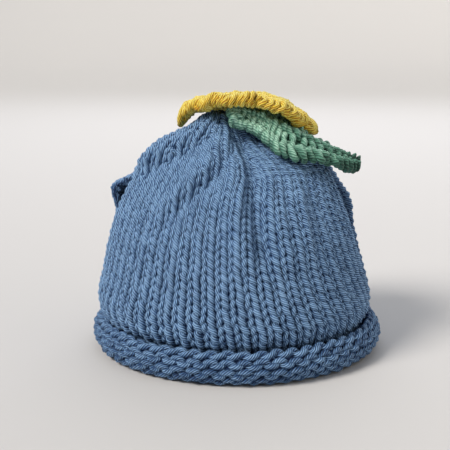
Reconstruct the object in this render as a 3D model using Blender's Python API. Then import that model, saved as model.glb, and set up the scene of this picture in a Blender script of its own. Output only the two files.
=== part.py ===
"""Knitted tea cosy: two panels with a rolled hem, a crocheted flower and a crocheted leaf.

Metres, +Z up. The origin is on the surface the cosy stands on, at the middle of its hem.
The front faces -Y, the handle slit is at -X and the spout slit at +X.
Azimuths are in degrees round the cosy: 0 is the front (-Y) and 90 is the spout side (+X).
"""
import math
from collections import namedtuple

import bmesh
import bpy
from mathutils import Vector

MM = 0.001

# ---------------------------------------------------------------- driving sizes, in millimetres
CLOTH = 4.4                # thickness of the knitted cloth
SEAM_GAP = 0.4             # between the two panels along the seams

HEM_RADIUS = 56.9          # from the cosy's middle to the middle of the rolled hem
HEM_CURL = 5.25            # radius of the curl, at the middle of the cloth
HEM_SQUASH = 0.97          # the roll's middle stands this part of its radius above the surface
HEM_START = 60             # degrees on the curl where the cast-on edge lies
HEM_END = -200             # degrees on the curl where the wall leaves it
HEM_STEP = 20              # degrees from one row of the curl to the next
HEM_SWELL = 0.35           # how far the roll grows and shrinks round the cosy

WALL_ROWS = 17             # rows of faces from the hem to the crown
PANEL_COLUMNS = 28         # columns of faces across a panel

# The wall, at the middle of the cloth. Lean moves the whole ring towards +X.
Station = namedtuple("Station", "name height half_width half_depth lean")
STATIONS = (
    Station("tuck",     11.3, 52.3, 52.0,  0.0),
    Station("crease",   14.6, 55.0, 54.4, -0.3),
    Station("foot",     18.6, 57.4, 56.6, -0.8),
    Station("belly",    24.0, 58.0, 57.0, -1.0),
    Station("waist",    33.5, 56.0, 55.2, -1.0),
    Station("middle",   44.0, 54.0, 52.8, -1.2),
    Station("slope",    56.0, 50.6, 48.8, -1.6),
    Station("shoulder", 66.5, 46.0, 43.0, -1.8),
    Station("yoke",     75.0, 41.0, 36.6, -1.2),
    Station("cap",      82.8, 34.6, 28.6, -0.8),
    Station("gather",   90.2, 24.4, 19.6, -2.0),
    Station("neck",     96.6, 13.6, 11.4, -3.8),
    Station("crown",   100.6,  6.8,  6.2, -4.6),
    Station("drawn",    99.8,  3.4,  3.2, -4.7),
)

# The slits between the panels, for the teapot's handle and spout. The panel's edge before a slit
# and the edge past it, going round by azimuth, are pushed out by their flares, most at
# flare_height and dying out flare_span above and below it.
Slit = namedtuple("Slit", "name azimuth bottom top width flare_before flare_past flare_height flare_span")
SLITS = (
    Slit("spout",   86, 22, 78, 22, 0.4, 3.2, 62, 9),
    Slit("handle", -86, 24, 80, 13, 6.6, 0.2, 66, 5.5),
)
FLARE_REACH = 13           # how far from the edge a flare dies out

# Folds of the gathered crown. Each runs from its azimuth at its top to its azimuth at its foot.
# Rise is the height of a ridge, or the depth of a valley where it is below zero.
FOLD_FADE = 14             # the length over which a fold grows at its foot and dies at its top
Fold = namedtuple("Fold", "name top_azimuth foot_azimuth foot_height top_height rise width")
FOLDS = (
    Fold("left shoulder",    -80, -80, 80,  92,  3.6, 8.0),
    Fold("rope",             -40, -76, 76, 100,  3.0, 5.5),
    Fold("rope valley",      -30, -66, 76,  98, -2.6, 4.6),
    Fold("left ridge",       -10, -34, 64,  96,  3.2, 4.6),
    Fold("left valley",       -2, -33, 60,  94, -3.2, 4.2),
    Fold("middle ridge",      -2,   4, 44, 104,  2.4, 3.8),
    Fold("middle valley",     12,  13, 48, 104, -4.0, 4.2),
    Fold("right ridge one",   20,  23, 46,  78,  2.2, 4.5),
    Fold("right ridge two",   38,  33, 48,  76,  2.0, 5.0),
    Fold("leaf valley",       38,  38, 86, 104, -3.6, 9.0),
    Fold("right valley",      50,  46, 62,  80, -1.2, 5.0),
    Fold("spout ridge",       96,  90, 74, 104,  0.8, 7.0),
    Fold("back valley one",  118, 112, 74, 104, -2.8, 6.0),
    Fold("back ridge one",   140, 132, 70, 104,  2.6, 6.5),
    Fold("back valley two",  164, 158, 60, 104, -3.2, 5.0),
    Fold("back ridge two",   186, 180, 66, 104,  2.6, 5.5),
    Fold("back valley three", 212, 206, 72, 104, -2.8, 6.0),
    Fold("back ridge three", 236, 232, 76, 104,  2.6, 7.0),
    Fold("handle valley",    262, 258, 80, 104, -1.8, 6.0),
)

# The flower: six petals round a middle, draped over the crown and the leaf.
FLOWER_CENTRE = (5.6, 4.6)
FLOWER_CLOTH = 4.2
FLOWER_RADIUS = 29.4
PETALS = 6
PETAL_CUT = 0.18           # how far the gaps between petals reach in, as a part of the radius
PETAL_CUP = 0.9            # how far a petal's middle stands above its sides, at the rim
PETAL_TURN = 5             # degrees the petals are turned round the middle
FRONT_LIFT = 0.8           # how far the front petals rise above the middle
BACK_DROOP = 7.0           # how far the back petals hang below the middle
LEAF_DROOP = 1.2           # how far the front petals over the leaf hang below the middle
LEAF_SIDE = 6              # x at which the front petals start to come down on the leaf
LEAF_SIDE_SPAN = 14        # x from there to where they lie on it
FLOWER_RINGS = (0.16, 0.42, 0.70, 0.90, 1.0)
FLOWER_SPOKES = 48

Drape = namedtuple("Drape", "x height")
FLOWER_DRAPE = (
    Drape(-24.8,  95.8),
    Drape(-23.4,  99.6),
    Drape(-21.2, 103.0),
    Drape(-17.5, 105.4),
    Drape(-11.5, 107.2),
    Drape(-4,    108.3),
    Drape(8,     108.6),
    Drape(17,    106.8),
    Drape(26,    101.4),
    Drape(35,     92.6),
)

# The leaf, at the middle of its cloth: its spine, and how far it reaches and hangs on each side.
LEAF_CLOTH = 3.8
LEAF_SCALLOP = 0.07        # depth of the scallops, as a part of the leaf's reach
LEAF_SCALLOPS = 10
LEAF_ROWS = 26
LEAF_COLUMNS = 8
Rib = namedtuple("Rib", "name x y height front_reach front_drop back_reach back_drop")
RIBS = (
    Rib("base",  -3.2, -13.2, 102.2,  3.0,  3.0,  2.6, -0.6),
    Rib("heel",   3.0, -13.4, 102.0,  4.4,  4.4,  6.0, -1.0),
    Rib("neck",   9.5, -13.6, 99.8,   5.2,  4.8,  9.0, -2.2),
    Rib("swell", 14.5, -14.4, 97.6,   7.8,  6.2, 12.0, -2.6),
    Rib("broad", 21.5, -15.0, 94.6,  12.0,  7.8, 12.6, -2.8),
    Rib("waist", 33.0, -12.8, 89.0,  10.4,  4.2, 10.4, -2.5),
    Rib("taper", 44.0,  -9.5, 84.2,   7.0,  3.2,  6.5, -0.6),
    Rib("tip",   51.6,  -7.2, 80.2,   2.0,  0.8,  2.0,  0.2),
)

# name, base colour, roughness
FINISHES = (
    ("front_panel", (0.115, 0.235, 0.440), 0.90),
    ("back_panel",  (0.115, 0.235, 0.440), 0.90),
    ("flower",      (0.830, 0.540, 0.040), 0.90),
    ("leaf",        (0.130, 0.330, 0.210), 0.90),
)


# ---------------------------------------------------------------- small tools
def smooth_step(value):
    """Return 0 below 0, 1 above 1 and a soft S between them."""
    value = min(1.0, max(0.0, value))
    return value * value * (3 - 2 * value)


def through(points, place):
    """Return the point at place on a smooth curve through points, spaced by their distances."""
    index = min(int(place), len(points) - 2)
    start, end = points[index], points[index + 1]
    before = points[max(index - 1, 0)]
    after = points[min(index + 2, len(points) - 1)]
    length = (end - start).length
    leave = (end - before) * (length / ((start - before).length + length))
    arrive = (after - start) * (length / ((after - end).length + length))
    part = place - index
    square, cube = part * part, part * part * part
    return (start * (2 * cube - 3 * square + 1) + leave * (cube - 2 * square + part)
            + end * (3 * square - 2 * cube) + arrive * (cube - square))


# ---------------------------------------------------------------- the knitted panels
def hem_point(degrees, azimuth):
    """Return (radius, height, lean) on the curl of the hem, at the middle of the cloth."""
    turn = math.radians(azimuth)
    swell = HEM_SWELL * (math.sin(2 * turn + 0.5) + 0.6 * math.sin(6 * turn)) / 1.6
    curl = HEM_CURL + 0.5 * swell
    angle = math.radians(degrees)
    radius = HEM_RADIUS + 0.8 * swell + curl * math.cos(angle)
    middle = HEM_SQUASH * (curl + CLOTH / 2)
    return Vector((radius, middle + curl * math.sin(angle), 0.0))


def hem_steps():
    """Return the number of rows of faces in the curl."""
    return (HEM_START - HEM_END) // HEM_STEP


def section(azimuth, row):
    """Return (radius, height, lean) in the upright section at an azimuth, at a row counted from the edge."""
    if row <= hem_steps():
        return hem_point(HEM_START - HEM_STEP * row, azimuth)
    turn = math.radians(azimuth)
    path = [hem_point(HEM_END + HEM_STEP, azimuth), hem_point(HEM_END, azimuth)]
    for station in STATIONS:
        across = station.half_width * math.cos(turn)
        along = station.half_depth * math.sin(turn)
        radius = station.half_width * station.half_depth / math.hypot(across, along)
        path.append(Vector((radius, station.height, station.lean)))
    rise = (row - hem_steps()) / WALL_ROWS
    return through(path, 1 + rise * (len(path) - 2))


def smooth_point(azimuth, row):
    """Return the middle of the cloth, before the folds."""
    radius, height, lean = section(azimuth, row)
    turn = math.radians(azimuth)
    return Vector((lean + radius * math.sin(turn), -radius * math.cos(turn), height))


def smooth_normal(azimuth, row):
    """Return the way the knit side of the cloth faces."""
    last = hem_steps() + WALL_ROWS
    low, high = max(row - 0.05, 0.0), min(row + 0.05, last)
    across = smooth_point(azimuth + 0.5, row) - smooth_point(azimuth - 0.5, row)
    along = smooth_point(azimuth, high) - smooth_point(azimuth, low)
    return across.cross(along).normalized()


def fold_rise(azimuth, row):
    """Return how far the folds lift the cloth off the smooth wall."""
    radius, height, _ = section(azimuth, row)
    if row <= hem_steps():
        return 0.0
    total = 0.0
    for fold in FOLDS:
        part = smooth_step((height - fold.foot_height) / (fold.top_height - fold.foot_height))
        centre = fold.foot_azimuth + (fold.top_azimuth - fold.foot_azimuth) * part
        away = (azimuth - centre + 180) % 360 - 180
        distance = math.radians(away) * radius / fold.width
        grown = smooth_step((height - fold.foot_height) / FOLD_FADE + 0.5)
        left = smooth_step((fold.top_height - height) / FOLD_FADE + 0.5)
        total += fold.rise * grown * left * math.exp(-distance * distance)
    near_crown = smooth_step((radius - 3) / 16)
    return total * near_crown


def edge_flare(flare, slit, distance, height):
    """Return how far a panel is pushed out at a distance from its edge beside a slit."""
    rise = math.exp(-((height - slit.flare_height) / slit.flare_span) ** 2)
    return flare * rise * smooth_step(1 - distance / FLARE_REACH)


def panel_point(azimuth, row, side, flare):
    """Return a point on the knit side (side 1) or the purl side (side -1) of the cloth."""
    lift = fold_rise(azimuth, row) + flare + side * CLOTH / 2
    point = smooth_point(azimuth, row) + smooth_normal(azimuth, row) * lift
    point.z = max(point.z, 0.0)
    return point


def edge_azimuth(slit, row, side):
    """Return the azimuth of a panel's edge beside a slit; side is -1 before it and 1 past it."""
    radius, height, _ = section(slit.azimuth, row)
    part = (height - slit.bottom) / (slit.top - slit.bottom)
    opening = 0.0
    if row > hem_steps() and 0 < part < 1:
        opening = slit.width / 2 * math.sin(math.pi * part) ** 0.8
    return slit.azimuth + side * math.degrees((opening + SEAM_GAP / 2) / radius)


def make_panel(name, first_slit, last_slit, turns):
    """Build a panel that runs from past one slit to before the next, turns full circles on."""
    rows = hem_steps() + WALL_ROWS
    sides = {}
    for side in (1, -1):
        grid = []
        for row in range(rows + 1):
            start = edge_azimuth(first_slit, row, 1)
            end = edge_azimuth(last_slit, row, -1) + 360 * turns
            line = []
            for column in range(PANEL_COLUMNS + 1):
                azimuth = start + (end - start) * column / PANEL_COLUMNS
                radius, height, _ = section(azimuth, row)
                from_start = math.radians(azimuth - start) * radius
                from_end = math.radians(end - azimuth) * radius
                flare = (edge_flare(first_slit.flare_past, first_slit, from_start, height)
                         + edge_flare(last_slit.flare_before, last_slit, from_end, height))
                line.append(panel_point(azimuth, row, side, flare))
            grid.append(line)
        sides[side] = grid
    return make_sheet(name, sides[1], sides[-1])


# ---------------------------------------------------------------- the flower
def flower_height(x, y):
    """Return the height of the middle of the flower's cloth at a place on the plan."""
    steps = [Vector((step.x, step.height)) for step in FLOWER_DRAPE]
    index = 0
    while index < len(steps) - 2 and x > steps[index + 1].x:
        index += 1
    part = min(1.3, max(-0.3, (x - steps[index].x) / (steps[index + 1].x - steps[index].x)))
    height = through(steps, index + part).y if 0 <= part <= 1 else (
        steps[index].y + (steps[index + 1].y - steps[index].y) * part)
    away = abs(y - FLOWER_CENTRE[1]) / FLOWER_RADIUS
    if y > FLOWER_CENTRE[1]:
        return height - BACK_DROOP * away ** 1.5
    on_leaf = smooth_step((x - LEAF_SIDE) / LEAF_SIDE_SPAN)
    return height + (FRONT_LIFT - (FRONT_LIFT + LEAF_DROOP) * on_leaf) * away ** 2


def flower_point(angle, ring, side):
    """Return a point of the flower at an angle in degrees, a part of the way to the rim."""
    wave = abs(math.cos(math.radians((angle - PETAL_TURN) * PETALS / 2)))
    reach = FLOWER_RADIUS * (1 - PETAL_CUT * ring * (1 - wave ** 0.6))
    turn = math.radians(angle)
    x = FLOWER_CENTRE[0] + reach * ring * math.cos(turn)
    y = FLOWER_CENTRE[1] + reach * ring * math.sin(turn)
    rim = 0.82 if ring == 1.0 else 1.0
    cup = PETAL_CUP * (wave - 0.5) * ring
    normal = Vector((flower_height(x - 0.5, y) - flower_height(x + 0.5, y),
                     flower_height(x, y - 0.5) - flower_height(x, y + 0.5), 1)).normalized()
    return Vector((x, y, flower_height(x, y) + cup)) + normal * (side * rim * FLOWER_CLOTH / 2)


def make_flower():
    """Build the flower as one closed sheet round its middle."""
    mesh = bmesh.new()
    rims = []
    for side in (1, -1):
        middle = Vector(FLOWER_CENTRE).to_3d()
        middle.z = flower_height(*FLOWER_CENTRE) + side * FLOWER_CLOTH / 2
        inner = mesh.verts.new(middle * MM)
        loops = []
        for ring in FLOWER_RINGS:
            loop = []
            for spoke in range(FLOWER_SPOKES):
                angle = 360 * spoke / FLOWER_SPOKES
                loop.append(mesh.verts.new(flower_point(angle, ring, side) * MM))
            loops.append(loop)
        for spoke in range(FLOWER_SPOKES):
            beside = (spoke + 1) % FLOWER_SPOKES
            mesh.faces.new((inner, loops[0][spoke], loops[0][beside])[::side])
            for near, far in zip(loops, loops[1:]):
                mesh.faces.new((near[spoke], far[spoke], far[beside], near[beside])[::side])
        rims.append(loops[-1])
    for spoke in range(FLOWER_SPOKES):
        beside = (spoke + 1) % FLOWER_SPOKES
        top, bottom = rims
        mesh.faces.new((top[spoke], bottom[spoke], bottom[beside], top[beside]))
    return finish_object("flower", mesh)


# ---------------------------------------------------------------- the leaf
def leaf_point(place, across, side):
    """Return a point of the leaf: place 0 to 1 along it, across -1 at its front edge to 1 at its back."""
    where = place * (len(RIBS) - 1)
    spine = through([Vector((rib.x, rib.y, rib.height)) for rib in RIBS], where)
    ahead = through([Vector((rib.x, rib.y, rib.height)) for rib in RIBS], min(where + 0.05, len(RIBS) - 1))
    behind = through([Vector((rib.x, rib.y, rib.height)) for rib in RIBS], max(where - 0.05, 0))
    along = ahead - behind
    level = Vector((-along.y, along.x, 0)).normalized()
    front = through([Vector((rib.front_reach, rib.front_drop)) for rib in RIBS], where)
    back = through([Vector((rib.back_reach, rib.back_drop)) for rib in RIBS], where)
    scallop = 1 + LEAF_SCALLOP * math.cos(2 * math.pi * LEAF_SCALLOPS * place)
    to_front = -level * front.x * scallop - Vector((0, 0, front.y))
    to_back = level * back.x * scallop - Vector((0, 0, back.y))
    offset = to_front * (across * (across - 1) / 2) + to_back * (across * (across + 1) / 2)
    slope = to_front * (across - 0.5) + to_back * (across + 0.5)
    normal = along.cross(slope).normalized()
    rim = 0.75 if abs(across) == 1 or place in (0, 1) else 1.0
    return spine + offset + normal * (side * rim * LEAF_CLOTH / 2)


def make_leaf():
    """Build the leaf as one closed sheet along its spine."""
    sides = {}
    for side in (1, -1):
        sides[side] = [[leaf_point(row / LEAF_ROWS, 2 * column / LEAF_COLUMNS - 1, side)
                        for row in range(LEAF_ROWS + 1)] for column in range(LEAF_COLUMNS + 1)]
    return make_sheet("leaf", sides[1], sides[-1])


# ---------------------------------------------------------------- meshes and finishes
def make_sheet(name, outer, inner):
    """Build one closed solid between two grids of points; outer is seen with its rows running up."""
    mesh = bmesh.new()
    grids = [[[mesh.verts.new(point * MM) for point in line] for line in grid] for grid in (outer, inner)]
    last_row, last_column = len(outer) - 1, len(outer[0]) - 1
    for grid, step in zip(grids, (1, -1)):
        for row in range(last_row):
            for column in range(last_column):
                corners = (grid[row][column], grid[row][column + 1],
                           grid[row + 1][column + 1], grid[row + 1][column])
                mesh.faces.new(corners[::step])
    border = [(0, column) for column in range(last_column)]
    border += [(row, last_column) for row in range(last_row)]
    border += [(last_row, column) for column in range(last_column, 0, -1)]
    border += [(row, 0) for row in range(last_row, 0, -1)]
    front, back = grids
    for (row, column), (next_row, next_column) in zip(border, border[1:] + border[:1]):
        mesh.faces.new((front[row][column], back[row][column],
                        back[next_row][next_column], front[next_row][next_column]))
    return finish_object(name, mesh)


def finish_object(name, mesh):
    """Turn a bmesh into a named, smooth-shaded object in the scene."""
    bmesh.ops.recalc_face_normals(mesh, faces=mesh.faces)
    data = bpy.data.meshes.new(name)
    mesh.to_mesh(data)
    mesh.free()
    data.shade_smooth()
    data.set_sharp_from_angle(angle=math.radians(50))
    made = bpy.data.objects.new(name, data)
    bpy.context.scene.collection.objects.link(made)
    return made


def give_finish(name, colour, roughness):
    """Give an object its own yarn material."""
    finish = bpy.data.materials.new(name + "_yarn")
    finish.use_nodes = True
    shader = finish.node_tree.nodes["Principled BSDF"]
    shader.inputs["Base Color"].default_value = (*colour, 1)
    shader.inputs["Roughness"].default_value = roughness
    shader.inputs["Metallic"].default_value = 0
    bpy.data.objects[name].data.materials.append(finish)


def main():
    """Build the cosy."""
    for old in list(bpy.data.objects):
        bpy.data.objects.remove(old, do_unlink=True)
    spout, handle = SLITS
    make_panel("front_panel", handle, spout, 0)
    make_panel("back_panel", spout, handle, 1)
    make_flower()
    make_leaf()
    for name, colour, roughness in FINISHES:
        give_finish(name, colour, roughness)


main()
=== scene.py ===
"""Looks of a hand-knitted tea cosy: knitted panels, crocheted flower and crocheted leaf.

The yarn is laid as real strands. Each course of knitting is one strand of loops that follows the
cloth of its panel, and each crocheted piece is made of tall stitches worked into a round or a
chain. A thin cloth of the same shape lies inside every piece and holds its stitches; its dark
colour is painted shade, seen between the stitches.

Lengths are in millimetres until a mesh is made, and azimuths are in degrees round the cosy:
0 is the front (-Y) and 90 is the spout side (+X).
"""

import logging
import math
from dataclasses import dataclass
from enum import Enum
from typing import Callable, NamedTuple, Optional, Sequence, Union

import bpy
import numpy as np
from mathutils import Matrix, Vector


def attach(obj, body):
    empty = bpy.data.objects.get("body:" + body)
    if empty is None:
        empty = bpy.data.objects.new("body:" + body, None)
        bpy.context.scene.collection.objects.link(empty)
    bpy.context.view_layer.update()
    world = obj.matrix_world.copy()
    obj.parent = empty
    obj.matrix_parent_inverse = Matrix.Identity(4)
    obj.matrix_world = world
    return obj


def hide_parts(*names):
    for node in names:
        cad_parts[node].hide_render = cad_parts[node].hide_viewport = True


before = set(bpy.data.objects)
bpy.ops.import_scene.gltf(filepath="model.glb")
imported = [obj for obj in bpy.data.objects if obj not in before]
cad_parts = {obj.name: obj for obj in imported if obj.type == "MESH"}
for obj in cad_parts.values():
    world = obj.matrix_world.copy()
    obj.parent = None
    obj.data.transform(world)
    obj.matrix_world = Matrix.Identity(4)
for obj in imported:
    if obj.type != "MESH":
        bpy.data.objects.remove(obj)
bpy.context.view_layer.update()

MM = 0.001
TURN = 2 * math.pi
Array = np.ndarray
Value = Union[float, bpy.types.NodeSocket]
Lay = Callable[[Array, Array, Array], tuple[Array, Array]]
log = logging.getLogger("cosy")


class Slot(Enum):
    """The record's material slots."""

    BLUE = "blue_yarn"
    YELLOW = "yellow_yarn"
    GREEN = "green_yarn"


# ---------------------------------------------------------------------------- small tools
def linear(hex_colour: str) -> tuple[float, float, float, float]:
    """Turn an sRGB hex colour into linear RGBA.

    Args:
        hex_colour: six hex digits.

    Returns:
        The linear colour with an alpha of 1.
    """
    parts = [int(hex_colour[i:i + 2], 16) / 255 for i in (0, 2, 4)]
    return (*(p / 12.92 if p <= 0.04045 else ((p + 0.055) / 1.055) ** 2.4 for p in parts), 1.0)


def add_node(tree: bpy.types.NodeTree, kind: str, settings: Optional[dict] = None,
             links: Optional[dict] = None) -> bpy.types.Node:
    """Add a node to a tree, with its settings and links.

    Args:
        tree: the shader or geometry tree.
        kind: the node's type name.
        settings: node properties by name, or values of inputs by index or socket name.
        links: output sockets to join to inputs, by index or socket name.

    Returns:
        The new node.
    """
    node = tree.nodes.new(kind)
    for key, value in (settings or {}).items():
        if isinstance(key, str) and hasattr(node, key):
            setattr(node, key, value)
        else:
            node.inputs[key].default_value = value
    for key, socket in (links or {}).items():
        tree.links.new(socket, node.inputs[key])
    return node


def work_out(tree: bpy.types.NodeTree, operation: str, *values: Value) -> bpy.types.NodeSocket:
    """Add a maths node to a shader tree.

    Args:
        tree: the shader tree.
        operation: what the node does.
        values: its numbers or output sockets, in order.

    Returns:
        The result's socket.
    """
    numbers = {index: value for index, value in enumerate(values) if isinstance(value, float)}
    sockets = {index: value for index, value in enumerate(values) if index not in numbers}
    return add_node(tree, "ShaderNodeMath", {"operation": operation, **numbers}, sockets).outputs[0]


def new_finish(name: str) -> tuple[bpy.types.Material, bpy.types.NodeTree, bpy.types.Node]:
    """Start a material, and return it with its tree and its shader."""
    material = bpy.data.materials.new(name)
    material.use_nodes = True
    return material, material.node_tree, material.node_tree.nodes["Principled BSDF"]


def new_object(name: str, data: bpy.types.ID) -> bpy.types.Object:
    """Put data into the scene as an object."""
    made = bpy.data.objects.new(name, data)
    bpy.context.scene.collection.objects.link(made)
    return made


def smooth_step(value: Array) -> Array:
    """Return 0 below 0, 1 above 1 and a soft S between them."""
    value = np.clip(value, 0.0, 1.0)
    return value * value * (3 - 2 * value)


def unit(vectors: Array) -> Array:
    """Return vectors of length 1 along the last axis."""
    return vectors / np.maximum(np.linalg.norm(vectors, axis=-1, keepdims=True), 1e-9)


def wander(phase: Array, knots: Array, rng: np.random.Generator, closed: bool = False) -> Array:
    """Make a smooth random wander along a strand.

    Args:
        phase: the places on the strand.
        knots: the places at which it takes a new direction.
        rng: the random numbers.
        closed: whether it ends as it starts.

    Returns:
        A value around 0 for each place.
    """
    value = rng.normal(0, 1, len(knots))
    value[-1] = value[0] if closed else value[-1]
    return np.interp(phase, knots, value)


def through(points: Array, place: Array) -> Array:
    """Follow a smooth curve through points, spaced by their distances.

    Args:
        points: the curve's points, one array of places for each, as (points, places, axes).
        place: where on the curve each place is, counted in points.

    Returns:
        The point on the curve for each place, as (places, axes).
    """
    index = np.clip(place.astype(int), 0, len(points) - 2)
    each = np.arange(len(place))
    start, end = points[index, each], points[index + 1, each]
    before = points[np.maximum(index - 1, 0), each]
    after = points[np.minimum(index + 2, len(points) - 1), each]
    length = np.linalg.norm(end - start, axis=1, keepdims=True)
    to_before = np.linalg.norm(start - before, axis=1, keepdims=True)
    to_after = np.linalg.norm(after - end, axis=1, keepdims=True)
    leave = (end - before) * (length / (to_before + length))
    arrive = (after - start) * (length / (to_after + length))
    part = (place - index)[:, None]
    square, cube = part ** 2, part ** 3
    return (start * (2 * cube - 3 * square + 1) + leave * (cube - 2 * square + part)
            + end * (3 * square - 2 * cube) + arrive * (cube - square))


# ---------------------------------------------------------------------------- the cosy's cloth
class Station(NamedTuple):
    """A ring of the wall at the middle of the cloth; lean moves it towards +X."""

    name: str
    height: float
    half_width: float
    half_depth: float
    lean: float


class Slit(NamedTuple):
    """A slit between the panels, with how far its edges flare out."""

    azimuth: float
    bottom: float
    top: float
    width: float
    flare_before: float
    flare_past: float
    flare_height: float
    flare_span: float


class Fold(NamedTuple):
    """A ridge of the gathered crown, or a valley where its rise is below zero."""

    name: str
    top_azimuth: float
    foot_azimuth: float
    foot_height: float
    top_height: float
    rise: float
    width: float


STATIONS = (
    Station("tuck",     11.3, 52.3, 52.0,  0.0),
    Station("crease",   14.6, 55.0, 54.4, -0.3),
    Station("foot",     18.6, 57.4, 56.6, -0.8),
    Station("belly",    24.0, 58.0, 57.0, -1.0),
    Station("waist",    33.5, 56.0, 55.2, -1.0),
    Station("middle",   44.0, 54.0, 52.8, -1.2),
    Station("slope",    56.0, 50.6, 48.8, -1.6),
    Station("shoulder", 66.5, 46.0, 43.0, -1.8),
    Station("yoke",     75.0, 41.0, 36.6, -1.2),
    Station("cap",      82.8, 34.6, 28.6, -0.8),
    Station("gather",   90.2, 24.4, 19.6, -2.0),
    Station("neck",     96.6, 13.6, 11.4, -3.8),
    Station("crown",   100.6,  6.8,  6.2, -4.6),
    Station("drawn",    99.8,  3.4,  3.2, -4.7),
)
SPOUT_SLIT = Slit(86, 22, 78, 22, 0.4, 3.2, 62, 9)
HANDLE_SLIT = Slit(-86, 24, 80, 13, 6.6, 0.2, 66, 5.5)
FOLDS = (
    Fold("left shoulder",    -80, -80, 80,  92,  3.6, 8.0),
    Fold("rope",             -40, -76, 76, 100,  3.0, 5.5),
    Fold("rope valley",      -30, -66, 76,  98, -2.6, 4.6),
    Fold("left ridge",       -10, -34, 64,  96,  3.2, 4.6),
    Fold("left valley",       -2, -33, 60,  94, -3.2, 4.2),
    Fold("middle ridge",      -2,   4, 44, 104,  2.4, 3.8),
    Fold("middle valley",     12,  13, 48, 104, -4.0, 4.2),
    Fold("right ridge one",   20,  23, 46,  78,  2.2, 4.5),
    Fold("right ridge two",   38,  33, 48,  76,  2.0, 5.0),
    Fold("leaf valley",       38,  38, 86, 104, -3.6, 9.0),
    Fold("right valley",      50,  46, 62,  80, -1.2, 5.0),
    Fold("spout ridge",       96,  90, 74, 104,  0.8, 7.0),
    Fold("back valley one",  118, 112, 74, 104, -2.8, 6.0),
    Fold("back ridge one",   140, 132, 70, 104,  2.6, 6.5),
    Fold("back valley two",  164, 158, 60, 104, -3.2, 5.0),
    Fold("back ridge two",   186, 180, 66, 104,  2.6, 5.5),
    Fold("back valley three", 212, 206, 72, 104, -2.8, 6.0),
    Fold("back ridge three", 236, 232, 76, 104,  2.6, 7.0),
    Fold("handle valley",    262, 258, 80, 104, -1.8, 6.0),
)


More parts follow.
